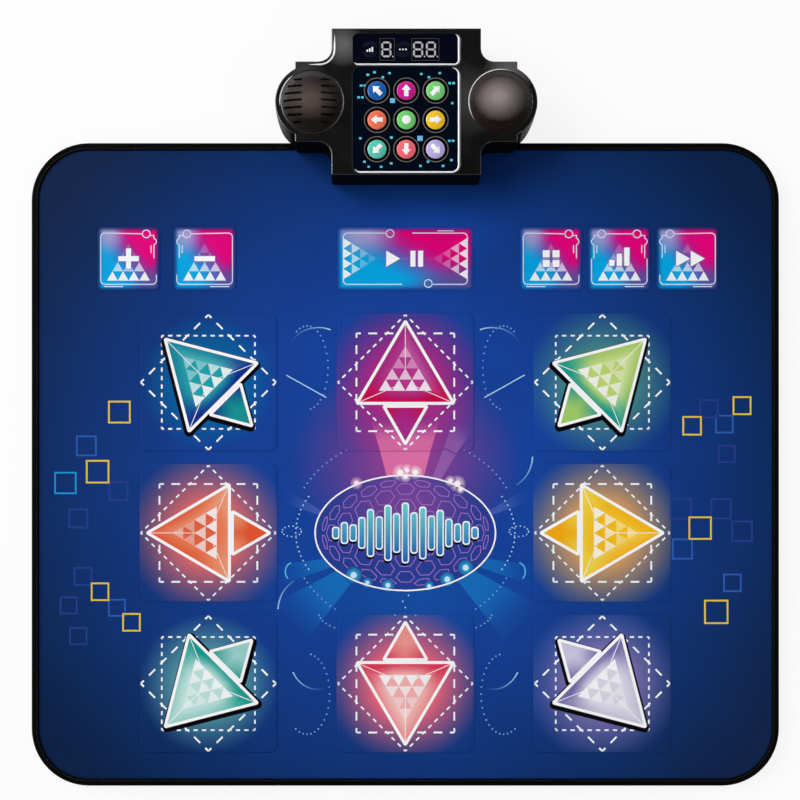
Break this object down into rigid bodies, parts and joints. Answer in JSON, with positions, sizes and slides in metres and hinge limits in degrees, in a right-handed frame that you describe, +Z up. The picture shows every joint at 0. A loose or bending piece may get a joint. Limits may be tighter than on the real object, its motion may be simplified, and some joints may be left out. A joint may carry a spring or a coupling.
{
  "type": "electronic dance mat",
  "caption": "Padded floor mat with square step pads and function pads that press in, and a moulded control console with a display, indicator lights and a loudspeaker on its far edge.",
  "frame": {"origin": "centre of the whole object's footprint, on the floor", "axes": "+Z up from the floor, +Y from the player towards the console, +X to the player's right"},
  "size_m": [0.93, 0.9244, 0.047],
  "materials": {
    "base cloth": "woven, non-slip",
    "printed film": "clear film with printed tracks",
    "foam": "open-cell foam",
    "printed vinyl": "satin printed vinyl",
    "binding tape": "sewn webbing",
    "console housing": "satin moulded",
    "console base": "satin moulded",
    "battery door": "satin moulded",
    "circuit board": "solder mask",
    "digit module": "potted display",
    "display window": "smoked",
    "indicator panel": "printed, gloss",
    "speaker grille": "gloss",
    "dome cap": "gloss",
    "speaker driver": "pressed steel and paper cone",
    "switch body": "moulded",
    "switch knob": "moulded",
    "connector": "moulded",
    "battery": "wrapped cell",
    "battery contact": "plated",
    "screw": "zinc plated",
    "rubber foot": "matt",
    "blue step pad": "printed vinyl, halo in this colour",
    "blue lens": "translucent",
    "magenta step pad": "printed vinyl, halo in this colour",
    "magenta lens": "translucent",
    "green step pad": "printed vinyl, halo in this colour",
    "green lens": "translucent",
    "orange step pad": "printed vinyl, halo in this colour",
    "orange lens": "translucent",
    "yellow step pad": "printed vinyl, halo in this colour",
    "yellow lens": "translucent",
    "mint step pad": "printed vinyl, halo in this colour",
    "mint lens": "translucent",
    "coral step pad": "printed vinyl, halo in this colour",
    "coral lens": "translucent",
    "lavender step pad": "printed vinyl, halo in this colour",
    "lavender lens": "translucent",
    "function pad": "printed vinyl"
  },
  "bodies": {
    "mat_and_console": {"base_cloth": "base cloth", "battery_1": "battery", "battery_2": "battery", "battery_3": "battery", "battery_contact_left": "battery contact", "battery_contact_right": "battery contact", "console_bottom_shell": "console base", "console_top_shell": "console housing", "contact_film": "printed film", "display_window": "display window", "dome_cap": "dome cap", "edge_binding": "binding tape", "foam_core": "foam", "housing_screw_back_left": "screw", "housing_screw_back_right": "screw", "housing_screw_front_left": "screw", "housing_screw_front_right": "screw", "indicator_lens_centre": "green lens", "indicator_lens_down": "coral lens", "indicator_lens_down_left": "mint lens", "indicator_lens_down_right": "lavender lens", "indicator_lens_left": "orange lens", "indicator_lens_right": "yellow lens", "indicator_lens_up": "magenta lens", "indicator_lens_up_left": "blue lens", "indicator_lens_up_right": "green lens", "indicator_panel": "indicator panel", "level_digit_module": "digit module", "main_board": "circuit board", "mat_screw_left": "screw", "mat_screw_right": "screw", "power_switch_body": "switch body", "ribbon_connector": "connector", "ribbon_tail": "printed film", "rubber_foot_front_left": "rubber foot", "rubber_foot_front_right": "rubber foot", "rubber_foot_rear_left": "rubber foot", "rubber_foot_rear_right": "rubber foot", "score_digit_module": "digit module", "speaker_driver": "speaker driver", "speaker_grille": "speaker grille", "top_cover": "printed vinyl"},
    "step_pad_up_left_body": {"step_pad_up_left": "blue step pad"},
    "step_pad_up_body": {"step_pad_up": "magenta step pad"},
    "step_pad_up_right_body": {"step_pad_up_right": "green step pad"},
    "step_pad_left_body": {"step_pad_left": "orange step pad"},
    "step_pad_right_body": {"step_pad_right": "yellow step pad"},
    "step_pad_down_left_body": {"step_pad_down_left": "mint step pad"},
    "step_pad_down_body": {"step_pad_down": "coral step pad"},
    "step_pad_down_right_body": {"step_pad_down_right": "lavender step pad"},
    "volume_up_pad_body": {"volume_up_pad": "function pad"},
    "volume_down_pad_body": {"volume_down_pad": "function pad"},
    "start_pad_body": {"start_pad": "function pad"},
    "mode_pad_body": {"mode_pad": "function pad"},
    "difficulty_pad_body": {"difficulty_pad": "function pad"},
    "demo_pad_body": {"demo_pad": "function pad"},
    "power_switch_knob_body": {"power_switch_knob": "switch knob"},
    "battery_door_body": {"battery_door": "battery door"}
  },
  "joints": [
    {"name": "step_pad_up_left_press", "type": "slide", "parent": "mat_and_console", "child": "step_pad_up_left_body", "axis": [0, 0, -1], "range_m": [0, 0.002], "stiffness_N_per_m": 9000, "springref_m": -0.0005},
    {"name": "step_pad_up_press", "type": "slide", "parent": "mat_and_console", "child": "step_pad_up_body", "axis": [0, 0, -1], "range_m": [0, 0.002], "stiffness_N_per_m": 9000, "springref_m": -0.0005},
    {"name": "step_pad_up_right_press", "type": "slide", "parent": "mat_and_console", "child": "step_pad_up_right_body", "axis": [0, 0, -1], "range_m": [0, 0.002], "stiffness_N_per_m": 9000, "springref_m": -0.0005},
    {"name": "step_pad_left_press", "type": "slide", "parent": "mat_and_console", "child": "step_pad_left_body", "axis": [0, 0, -1], "range_m": [0, 0.002], "stiffness_N_per_m": 9000, "springref_m": -0.0005},
    {"name": "step_pad_right_press", "type": "slide", "parent": "mat_and_console", "child": "step_pad_right_body", "axis": [0, 0, -1], "range_m": [0, 0.002], "stiffness_N_per_m": 9000, "springref_m": -0.0005},
    {"name": "step_pad_down_left_press", "type": "slide", "parent": "mat_and_console", "child": "step_pad_down_left_body", "axis": [0, 0, -1], "range_m": [0, 0.002], "stiffness_N_per_m": 9000, "springref_m": -0.0005},
    {"name": "step_pad_down_press", "type": "slide", "parent": "mat_and_console", "child": "step_pad_down_body", "axis": [0, 0, -1], "range_m": [0, 0.002], "stiffness_N_per_m": 9000, "springref_m": -0.0005},
    {"name": "step_pad_down_right_press", "type": "slide", "parent": "mat_and_console", "child": "step_pad_down_right_body", "axis": [0, 0, -1], "range_m": [0, 0.002], "stiffness_N_per_m": 9000, "springref_m": -0.0005},
    {"name": "volume_up_pad_press", "type": "slide", "parent": "mat_and_console", "child": "volume_up_pad_body", "axis": [0, 0, -1], "range_m": [0, 0.002], "stiffness_N_per_m": 3000, "springref_m": -0.0005},
    {"name": "volume_down_pad_press", "type": "slide", "parent": "mat_and_console", "child": "volume_down_pad_body", "axis": [0, 0, -1], "range_m": [0, 0.002], "stiffness_N_per_m": 3000, "springref_m": -0.0005},
    {"name": "start_pad_press", "type": "slide", "parent": "mat_and_console", "child": "start_pad_body", "axis": [0, 0, -1], "range_m": [0, 0.002], "stiffness_N_per_m": 3000, "springref_m": -0.0005},
    {"name": "mode_pad_press", "type": "slide", "parent": "mat_and_console", "child": "mode_pad_body", "axis": [0, 0, -1], "range_m": [0, 0.002], "stiffness_N_per_m": 3000, "springref_m": -0.0005},
    {"name": "difficulty_pad_press", "type": "slide", "parent": "mat_and_console", "child": "difficulty_pad_body", "axis": [0, 0, -1], "range_m": [0, 0.002], "stiffness_N_per_m": 3000, "springref_m": -0.0005},
    {"name": "demo_pad_press", "type": "slide", "parent": "mat_and_console", "child": "demo_pad_body", "axis": [0, 0, -1], "range_m": [0, 0.002], "stiffness_N_per_m": 3000, "springref_m": -0.0005},
    {"name": "power_switch_slide", "type": "slide", "parent": "mat_and_console", "child": "power_switch_knob_body", "axis": [1, 0, 0], "range_m": [0, 0.004]},
    {"name": "battery_door_slide", "type": "slide", "parent": "mat_and_console", "child": "battery_door_body", "axis": [0, 1, 0], "range_m": [0, 0.044]}
  ]
}
